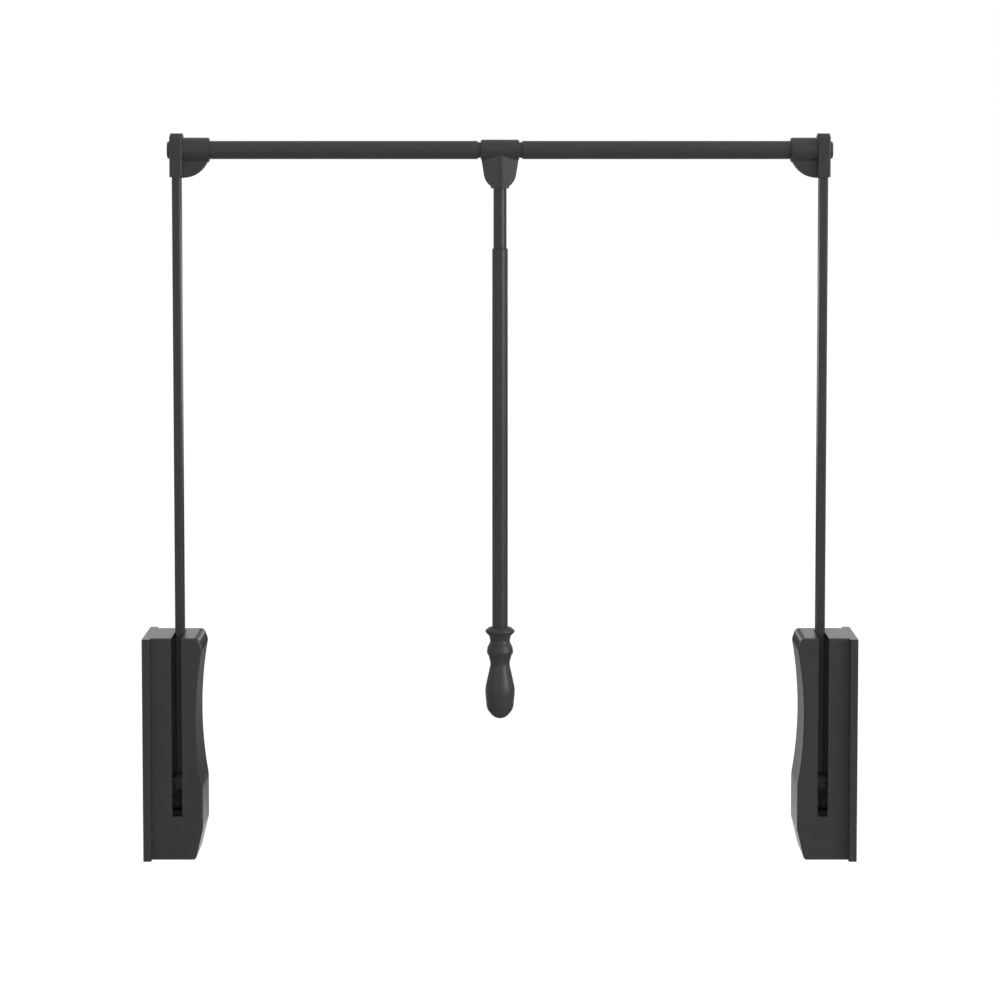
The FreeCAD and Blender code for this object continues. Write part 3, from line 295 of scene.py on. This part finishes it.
SLOT_FINISHES = {
    "moulded_plate": (moulded_plastic, "plastic"),
    "moulded_cover": (moulded_plastic, "plastic"),
    "moulded_elbow": (moulded_plastic, "plastic"),
    "moulded_tee": (moulded_plastic, "plastic"),
    "turned_handle": (turned_grip, "grip"),
    "coated_arm": (powder_coat, "coat"),
    "coated_tube": (powder_coat, "coat"),
    "coated_inner_tube": (powder_coat, "coat"),
    "coated_pull_rod": (powder_coat, "coat"),
    "coated_pull_tube": (powder_coat, "coat"),
    "black_screw": (powder_coat, "black_screw"),
    "zinc_steel": (plated_steel, "zinc"),
    "black_frame": (powder_coat, "frame_coat"),
    "cast_foot": (cast_metal, "cast"),
    "spring_wire": (plated_steel, "spring"),
    "damper_barrel": (powder_coat, "barrel"),
    "nylon": (nylon, "nylon"),
    "black_nylon": (nylon, "black_nylon"),
    "rubber": (rubber, "rubber"),
}


def finish(slot):
    """The finish of a material slot, made once."""
    name = f"{slot}_finish"
    if name not in bpy.data.materials:
        make, tone = SLOT_FINISHES[slot]
        make(name, getattr(bpy.context.scene.closet_rod_colours, tone))
    return bpy.data.materials[name]


# ---------------------------------------------------------------- piece making

def scaled(outline, along, across):
    """An outline in shares of a length and a radius, brought to size."""
    return [(a * along, r * across) for a, r in outline]


def turned(mesh, profile, axis, centre):
    """Spin (along, radius) points about X or Y through centre into a closed body."""
    along, across = ALONG[axis], ALONG["Z"]
    spots = [mesh.verts.new(centre + along * a + across * r) for a, r in profile]
    line = [mesh.edges.new(pair) for pair in zip(spots, spots[1:])]
    bmesh.ops.spin(
        mesh, geom=spots + line, cent=centre, axis=along, angle=math.tau, steps=FINE_TURN,
        use_merge=True)
    bmesh.ops.remove_doubles(mesh, verts=mesh.verts, dist=MERGE)


def round_crisp_edges(mesh, size, choose=None, segments=3):
    """Round the crisp edges, or those of them that choose() picks by their middle."""
    picked = []
    for edge in mesh.edges:
        if len(edge.link_faces) != 2 or edge.calc_face_angle() < CRISP:
            continue
        if choose is None or choose((edge.verts[0].co + edge.verts[1].co) / 2):
            picked.append(edge)
    bmesh.ops.bevel(
        mesh, geom=picked, offset=size, offset_type="OFFSET", segments=segments, profile=0.5,
        affect="EDGES", material=-1)


def sink_recess(mesh, centre, outward, cuts, inside, depth):
    """Cut a flat head along planes and sink the faces that inside() picks."""
    for offset in cuts:
        cap = [face for face in mesh.faces if face.normal.dot(outward) > FLAT]
        parts = dict.fromkeys(part for face in cap for part in (face, *face.edges, *face.verts))
        bmesh.ops.bisect_plane(
            mesh, geom=list(parts), dist=MERGE, plane_co=centre + offset,
            plane_no=offset.normalized())
    mesh.normal_update()
    floor = []
    for face in mesh.faces:
        spot = face.calc_center_median() - centre
        if face.normal.dot(outward) > FLAT and abs(spot.dot(outward)) < NEAR and inside(spot):
            floor.append(face)
    sunk = bmesh.ops.extrude_face_region(mesh, geom=floor)
    bmesh.ops.delete(mesh, geom=floor, context="FACES")
    corners = [part for part in sunk["geom"] if isinstance(part, bmesh.types.BMVert)]
    bmesh.ops.translate(mesh, verts=corners, vec=-outward * depth)


def mount(mesh, name, body, slot, *nodes):
    """Make a mesh into a piece that rides on a body and stands for some nodes."""
    bmesh.ops.recalc_face_normals(mesh, faces=mesh.faces)
    data = bpy.data.meshes.new(name)
    mesh.to_mesh(data)
    mesh.free()
    data.shade_smooth()
    data.set_sharp_from_angle(angle=CRISP)
    data.materials.append(finish(slot))
    piece = bpy.data.objects.new(name, data)
    bpy.context.scene.collection.objects.link(piece)
    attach(piece, body)
    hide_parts(*nodes)


def middle(node):
    """The middle of a node's box at rest."""
    low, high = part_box(node)
    return (low + high) / 2


# ---------------------------------------------------------------- pieces

# outlines in shares of a length and a radius: a sleeve each way from its middle, a buffer
# from its front, and a pan head down to its seat
SLEEVE_OUTLINE = (
    (-1, 0.5), (-1, 1), (-0.55, 1), (-0.4, 0.88), (0.4, 0.88), (0.55, 1), (1, 1), (1, 0.5),
    (-1, 0.5))
BUFFER_OUTLINE = (
    (0, 0), (0, 0.72), (0.08, 0.93), (0.22, 1), (0.34, 0.9), (0.46, 1), (0.58, 0.9),
    (0.70, 1), (0.78, 1), (0.78, 0.42), (0.89, 0.42), (0.89, 0.56), (1, 0.40), (1, 0))
PAN_OUTLINE = ((1, 0), (1, 0.72), (0.85, 0.90), (0.5, 1), (0, 1))
# the sleeves' edge rounding and the pan heads' height as shares of their radius
SLEEVE_ROUND = 0.08
PAN_HEIGHT = 0.5
# depths of the cross recess and of the hexagon socket as shares of the head's height
RECESS_DEPTH = 0.55
SOCKET_DEPTH = 0.7
# the rivets' shanks as a share of their heads
RIVET_SHANK = 0.65


class CLOSETROD_OT_coat_parts(bpy.types.Operator):
    """Give every part of the frame the finish of its material slot"""
    bl_idname = "closet_rod.coat_parts"
    bl_label = "Coat Parts"

    def execute(self, context):
        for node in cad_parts.values():
            for place in node.material_slots:
                place.material = finish(place.material.name.split(".")[0])
        return {"FINISHED"}


class CLOSETROD_OT_wind_springs(bpy.types.Operator):
    """Wind the two return springs with their eyes"""
    bl_idname = "closet_rod.wind_springs"
    bl_label = "Wind Springs"

    def execute(self, context):
        sizes = context.scene.closet_rod_sizes
        for side, _ in SIDES:
            foot, head = middle(f"{side}_crank_pin"), middle(f"{side}_spring_anchor")
            low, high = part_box(f"{side}_spring")
            foot.x = head.x = (low.x + high.x) / 2
            mount(spring_mesh(sizes, head - foot, foot), f"{side}_wound_spring",
                  f"{side}_housing", "spring_wire", f"{side}_spring")
        return {"FINISHED"}


def wire_section(mesh, wire, centre, turn=0.0):
    """A wire's round section, lying level unless it is turned about X."""
    place = Matrix.Translation(centre) @ Matrix.Rotation(turn, 4, "X")
    made = bmesh.ops.create_circle(mesh, segments=WIRE_SIDES, radius=wire, matrix=place)
    spots = made["verts"]
    return spots + list(dict.fromkeys(edge for spot in spots for edge in spot.link_edges))


def spring_mesh(sizes, reach, foot):
    """Close-wound coils between two eyes, along reach from foot."""
    mesh = bmesh.new()
    wire, coil, eye, lead = (
        sizes.spring_wire, sizes.spring_coil, sizes.spring_eye, sizes.spring_lead)
    span = reach.length
    wound = span - 2 * lead
    turns = int(wound / (2 * wire))
    steps = COIL_STEPS * turns
    bmesh.ops.spin(
        mesh, geom=wire_section(mesh, wire, (coil, 0, lead), QUARTER), cent=(0, 0, 0),
        axis=ALONG["Z"], dvec=(0, 0, wound / steps), angle=math.tau * turns, steps=steps)
    bmesh.ops.holes_fill(mesh, edges=[edge for edge in mesh.edges if edge.is_boundary])
    for end, inward in ((0.0, 1), (span, -1)):
        bmesh.ops.spin(
            mesh, geom=wire_section(mesh, wire, (0, eye, end)), cent=(0, 0, end),
            axis=ALONG["X"], angle=math.tau, steps=EYE_STEPS, use_merge=True)
        neck = Matrix.Translation((0, 0, end + inward * (eye + lead) / 2))
        bar = Matrix.Translation((coil / 2, 0, end + inward * lead)) @ Matrix.Rotation(
            QUARTER, 4, "Y")
        for place, long in ((neck, lead - eye), (bar, coil)):
            bmesh.ops.create_cone(
                mesh, cap_ends=True, segments=WIRE_SIDES, radius1=wire, radius2=wire,
                depth=long, matrix=place)
    tilt = ALONG["Z"].rotation_difference(reach).to_matrix().to_4x4()
    bmesh.ops.transform(mesh, matrix=Matrix.Translation(foot) @ tilt, verts=mesh.verts)
    return mesh


class CLOSETROD_OT_mould_rubbers(bpy.types.Operator):
    """Mould the stop sleeves and the ribbed rest buffers"""
    bl_idname = "closet_rod.mould_rubbers"
    bl_label = "Mould Rubbers"

    def execute(self, context):
        for side, _ in SIDES:
            body = f"{side}_housing"
            low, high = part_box(f"{side}_stop_sleeve")
            half, radius = (high.x - low.x) / 2, (high.z - low.z) / 2
            mesh = bmesh.new()
            turned(mesh, scaled(SLEEVE_OUTLINE, half, radius), "X", (low + high) / 2)
            round_crisp_edges(mesh, radius * SLEEVE_ROUND)
            mount(mesh, f"{side}_rubber_sleeve", body, "rubber", f"{side}_stop_sleeve")
            low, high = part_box(f"{side}_rest_bumper")
            deep, radius = high.y - low.y, (high.x - low.x) / 2
            front = Vector(((low.x + high.x) / 2, low.y, (low.z + high.z) / 2))
            mesh = bmesh.new()
            turned(mesh, scaled(BUFFER_OUTLINE, deep, radius), "Y", front)
            mount(mesh, f"{side}_rubber_buffer", body, "rubber", f"{side}_rest_bumper")
        return {"FINISHED"}


def pan_head(mesh, sizes, seat, axis, outward, tall, shank):
    """A pan head screw whose head rises outward from its seat."""
    sign = outward.dot(ALONG[axis])
    stem = sizes.screw_shank
    turned(mesh, scaled(PAN_OUTLINE, sign * tall, sizes.screw_head) + [
        (0, stem), (-sign * shank, stem), (-sign * shank, 0)], axis, seat)
    mesh.normal_update()
    bmesh.ops.recalc_face_normals(mesh, faces=mesh.faces)
    across = ALONG["Z"]
    beside = across.cross(outward)
    wide, reach = sizes.recess_width, sizes.recess_reach
    cuts = [direction * offset for direction in (across, beside)
            for offset in (wide, -wide, reach, -reach)]

    def in_cross(spot):
        up, side = abs(spot.dot(across)), abs(spot.dot(beside))
        return min(up, side) < wide and max(up, side) < reach

    sink_recess(mesh, seat + outward * tall, outward, cuts, in_cross, tall * RECESS_DEPTH)


class CLOSETROD_OT_drive_screws(bpy.types.Operator):
    """Drive the pan head screws of covers and frames"""
    bl_idname = "closet_rod.drive_screws"
    bl_label = "Drive Screws"

    def execute(self, context):
        sizes = context.scene.closet_rod_sizes
        radius = sizes.screw_head
        tall = radius * PAN_HEIGHT
        for side, sign in SIDES:
            for name, axis, outward, count, slot in (
                    ("cover_screws", "Y", ALONG["Y"], 2, "black_screw"),
                    ("frame_screws", "X", ALONG["X"] * -sign, 3, "zinc_steel")):
                node = f"{side}_{name}"
                low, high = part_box(node)
                long = abs((high - low).dot(outward))
                pitch = (high.z - low.z - 2 * radius) / (count - 1)
                seat = (low + high) / 2 + outward * (long / 2 - tall)
                for row in range(count):
                    mesh = bmesh.new()
                    seat.z = low.z + radius + pitch * row
                    pan_head(mesh, sizes, seat, axis, outward, tall, long - tall)
                    mount(mesh, f"{side}_{name}_{row + 1}", f"{side}_housing", slot, node)
        return {"FINISHED"}


class CLOSETROD_OT_fit_rod_bolts(bpy.types.Operator):
    """Fit the socket head bolts through the elbows"""
    bl_idname = "closet_rod.fit_rod_bolts"
    bl_label = "Fit Rod Bolts"

    def execute(self, context):
        sizes = context.scene.closet_rod_sizes
        head, stem, half = sizes.bolt_head, sizes.bolt_shank, sizes.bolt_socket
        flats = [Matrix.Rotation(math.pi / 3 * i, 3, "X") @ ALONG["Z"] for i in range(6)]
        for side, sign in SIDES:
            node = f"{side}_rod_bolt"
            low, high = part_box(node)
            outward = ALONG["X"] * sign
            long = high.x - low.x
            top = (low + high) / 2 + outward * long / 2
            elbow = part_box(f"{side}_elbow")[0 if sign < 0 else 1].x
            tall = abs(top.x - elbow)
            mesh = bmesh.new()
            turned(mesh, [(0, 0), (0, head), (-sign * tall, head), (-sign * tall, stem),
                          (-sign * long, stem), (-sign * long, 0)], "X", top)
            round_crisp_edges(
                mesh, sizes.bolt_round, lambda spot: abs(spot.x - top.x) < MERGE, segments=6)
            bmesh.ops.recalc_face_normals(mesh, faces=mesh.faces)
            sink_recess(mesh, top, outward, [flat * half for flat in flats],
                        lambda spot: all(spot.dot(flat) < half for flat in flats),
                        tall * SOCKET_DEPTH)
            mount(mesh, f"{side}_socket_bolt", f"{side}_arm_set", "black_screw", node)
        return {"FINISHED"}


class CLOSETROD_OT_set_rivets(bpy.types.Operator):
    """Set the domed rivets of the arm feet"""
    bl_idname = "closet_rod.set_rivets"
    bl_label = "Set Rivets"

    def execute(self, context):
        for side, _ in SIDES:
            node = f"{side}_foot_rivets"
            low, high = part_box(node)
            arm_low, arm_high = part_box(f"{side}_arm")
            end, flat = (high.x - low.x) / 2, (arm_high.x - arm_low.x) / 2
            head = (high.y - low.y) / 2
            dome = [(flat + (end - flat) * math.sin(turn), head * math.cos(turn))
                    for turn in (QUARTER * step / DOME_STEPS for step in range(DOME_STEPS + 1))]
            stem = head * RIVET_SHANK
            profile = [(-x, r) for x, r in reversed(dome)] + [(-flat, stem), (flat, stem)] + dome
            mesh = bmesh.new()
            for z in (low.z + head, high.z - head):
                turned(mesh, profile, "X", Vector(((low.x + high.x) / 2, (low.y + high.y) / 2, z)))
            mount(mesh, f"{side}_domed_rivets", f"{side}_arm_set", "zinc_steel", node)
        return {"FINISHED"}


# ---------------------------------------------------------------- stage

# dark cards behind the rod, seen only in reflections, that paint dark reflections fading to
# glowing
# white ones: name, left, right, low, high, and the fades from a dark height to a white one
DARK_CARDS = (
    ("upper_card", -0.52, 0.52, 0.62, 2.40, ((0.72, 0.62),)),
    ("left_card", -5.0, -0.4, -0.32, 0.52, ((-0.10, -0.30),)),
    ("left_inner_card", -0.4, -0.16, -0.32, 0.34, ((0.15, 0.33), (-0.10, -0.30))),
    ("right_inner_card", -0.16, 0.4, -0.62, 0.34, ((0.15, 0.33), (-0.44, -0.60))),
    ("right_card", 0.4, 5.0, -0.62, 0.52, ((-0.44, -0.60),)),
)
# a dim room round the rod that shows only in reflections, painted dark reflections with a glowing
# white share: name, middle, size, the axis of its quarter turn, and how pale
REFLECTION_ONLY_WALLS = (
    ("dim_ceiling", (0, -1.0, 2.4), (10, 8.0), None, 0.5),
    ("dim_front", (0, -6.5, 1.0), (11, 3.4), "X", 0.4),
    ("dim_left", (-5, -1.8, 1.0), (3.4, 9.6), "Y", 0.6),
    ("dim_right", (5, -1.8, 1.0), (3.4, 9.6), "Y", 0.3),
    ("dim_floor", (0, -2.2, -0.5), (10, 8.0), None, 0.2),
)
# the colour of the painted dark reflections on the cards and walls
DARK_REFLECTION_TONE = (0.02, 0.02, 0.02, 1)
# side of the square floor, and the strength at which it shows just white
FLOOR_SIDE = 60
FLOOR_GLOW = 1.065
# how much of the floor's own shade the white hides near the rod, and how far out it goes
# from there to hiding all
SHADOW_COVER = 0.85
SHADOW_REACH = (1.6, 3.6)
# name, place, width, height, watts, and whether it shows in gloss
LAMPS = (
    ("key", (3.3, -2.3, 1.6), 2.0, 2.2, 96.0, True),
    ("fill", (-2.6, -3.4, 1.4), 1.6, 1.6, 5.0, True),
    ("overhead", (0.2, -0.3, 3.3), 2.4, 1.6, 34.0, True),
    ("front", (0.0, -4.4, 0.6), 0.5, 0.5, 62.0, False),
    ("back", (0.0, 4.4, 0.9), 1.0, 1.0, 110.0, False),
)
# the spot that the lamps face
LAMP_AIM = Vector((0.0, 0.0, 0.45))


class CLOSETROD_OT_build_stage(bpy.types.Operator):
    """Set up the floor, the reflection-only cards and walls that paint dark and glowing white
    reflections, the lamps and the camera
    """
    bl_idname = "closet_rod.build_stage"
    bl_label = "Build Stage"

    def execute(self, context):
        scene = context.scene
        stage = scene.closet_rod_stage
        scene.view_settings.view_transform = "Standard"
        scene.world = bpy.data.worlds.new("studio")
        walls = Nodes(scene.world)
        seen = walls.away_from_lamps()
        glow = walls.add("ShaderNodeBackground", {}, {
            "Color": WHITE, "Strength": seen * (1 - stage.ambient) + stage.ambient})
        walls.add("ShaderNodeOutputWorld", {}, {"Surface": glow})
        build_floor(scene, stage)
        # cards and walls seen only in reflections: painted dark and glowing white reflections
        for name, left, right, low, high, fades in DARK_CARDS:
            centre = ((left + right) / 2, stage.card_distance, (low + high) / 2)
            build_card(scene, name, centre, (right - left, high - low), "X", 0.0, fades)
        for name, centre, size, axis, pale in REFLECTION_ONLY_WALLS:
            build_card(scene, name, centre, size, axis, pale)
        for name, spot, wide, tall, power, gloss in LAMPS:
            lamp = bpy.data.lights.new(name, "AREA")
            lamp.shape = "RECTANGLE"
            lamp.size, lamp.size_y, lamp.energy = wide, tall, power
            stand = bpy.data.objects.new(name, lamp)
            stand.location = spot
            stand.visible_camera, stand.visible_glossy = False, gloss
            stand.rotation_euler = (LAMP_AIM - Vector(spot)).to_track_quat("-Z", "Y").to_euler()
            scene.collection.objects.link(stand)
        lens = bpy.data.cameras.new("camera")
        lens.lens, lens.shift_y = stage.camera_lens, stage.camera_shift
        camera = bpy.data.objects.new("camera", lens)
        camera.location = (0, -stage.camera_y, stage.camera_z)
        camera.rotation_euler = (QUARTER - stage.camera_tilt, 0, 0)
        scene.collection.objects.link(camera)
        scene.camera = camera
        return {"FINISHED"}


def flat_sheet(scene, name, centre, size, axis, material):
    """A flat sheet of the studio, level or turned a quarter about an axis."""
    turn = Matrix.Rotation(QUARTER, 4, axis) if axis else Matrix.Identity(4)
    mesh = bmesh.new()
    bmesh.ops.create_grid(
        mesh, x_segments=1, y_segments=1, size=0.5,
        matrix=Matrix.Translation(centre) @ turn @ Matrix.Diagonal((*size, 1, 1)))
    data = bpy.data.meshes.new(name)
    mesh.to_mesh(data)
    mesh.free()
    data.materials.append(material)
    sheet = bpy.data.objects.new(name, data)
    scene.collection.objects.link(sheet)
    return sheet


def build_card(scene, name, centre, size, axis, pale, fades=()):
    """A sheet that shows only in reflections, a painted dark reflection fading to a glowing white
    one over some heights.
    """
    material = bpy.data.materials.new(name)
    nodes = Nodes(material)
    spot = nodes.add("ShaderNodeTexCoord", output="Object")
    high = nodes.add("ShaderNodeSeparateXYZ", {}, {0: spot}, output=2)
    for dark, white in fades:
        pale = pale + nodes.level(high, dark, white)
    # painted dark reflection and painted glowing white reflection, mixed by height
    dark_reflection = nodes.add("ShaderNodeBsdfDiffuse", {}, {"Color": DARK_REFLECTION_TONE})
    glowing_white = nodes.add("ShaderNodeEmission", {}, {"Color": WHITE})
    both = nodes.add("ShaderNodeMixShader", {}, {0: pale, 1: dark_reflection, 2: glowing_white})
    nodes.add("ShaderNodeOutputMaterial", {}, {"Surface": both})
    card = flat_sheet(scene, name, centre, size, axis, material)
    # hidden from camera, diffuse and shadow rays, so the sheet only paints reflections
    card.visible_camera = card.visible_diffuse = card.visible_shadow = False


def build_floor(scene, stage):
    """A wide pale floor that shows white and keeps a faint shadow."""
    material = bpy.data.materials.new("pale_floor")
    nodes = Nodes(material)
    tone = shade(scene.closet_rod_colours.floor, 1.0)
    lit = nodes.add("ShaderNodeBsdfDiffuse", {}, {"Color": tone})
    spot = nodes.add("ShaderNodeTexCoord", output="Object")
    reach = nodes.add("ShaderNodeVectorMath", {"operation": "LENGTH"}, {0: spot}, output=1)
    cover = SHADOW_COVER + nodes.level(reach, *SHADOW_REACH) * (1 - SHADOW_COVER)
    white = nodes.add("ShaderNodeEmission", {}, {"Color": WHITE, "Strength": FLOOR_GLOW})
    both = nodes.add("ShaderNodeMixShader", {}, {
        0: nodes.away_from_lamps() * cover, 1: lit, 2: white})
    nodes.add("ShaderNodeOutputMaterial", {}, {"Surface": both})
    floor = flat_sheet(scene, "floor", (0, 0, -stage.floor_drop), (FLOOR_SIDE, FLOOR_SIDE),
                       None, material)


# ---------------------------------------------------------------- add-on

STEPS = (
    CLOSETROD_OT_coat_parts, CLOSETROD_OT_wind_springs, CLOSETROD_OT_mould_rubbers,
    CLOSETROD_OT_drive_screws, CLOSETROD_OT_fit_rod_bolts, CLOSETROD_OT_set_rivets,
    CLOSETROD_OT_build_stage)


class CLOSETROD_PT_panel(bpy.types.Panel):
    """Sizes, colours and steps of the closet rod"""
    bl_label = "Closet Rod"
    bl_idname = "CLOSETROD_PT_panel"
    bl_space_type = "VIEW_3D"
    bl_region_type = "UI"
    bl_category = "Closet Rod"

    def draw(self, context):
        for group in ("closet_rod_sizes", "closet_rod_colours", "closet_rod_stage"):
            box = self.layout.box()
            settings = getattr(context.scene, group)
            for name in settings.__annotations__:
                box.prop(settings, name)
        for step in STEPS:
            self.layout.operator(step.bl_idname)


CLASSES = (ClosetRodSizes, ClosetRodColours, ClosetRodStage, *STEPS, CLOSETROD_PT_panel)


def register():
    """Register the add-on and give the scene its settings."""
    for kind in CLASSES:
        bpy.utils.register_class(kind)
    bpy.types.Scene.closet_rod_sizes = bpy.props.PointerProperty(type=ClosetRodSizes)
    bpy.types.Scene.closet_rod_colours = bpy.props.PointerProperty(type=ClosetRodColours)
    bpy.types.Scene.closet_rod_stage = bpy.props.PointerProperty(type=ClosetRodStage)


def unregister():
    """Take the settings and the add-on out again."""
    del bpy.types.Scene.closet_rod_stage
    del bpy.types.Scene.closet_rod_colours
    del bpy.types.Scene.closet_rod_sizes
    for kind in reversed(CLASSES):
        bpy.utils.unregister_class(kind)


def main():
    """Take every step in order."""
    register()
    for step in STEPS:
        getattr(bpy.ops.closet_rod, step.bl_idname.split(".")[1])()


if __name__ == "__main__":
    main()
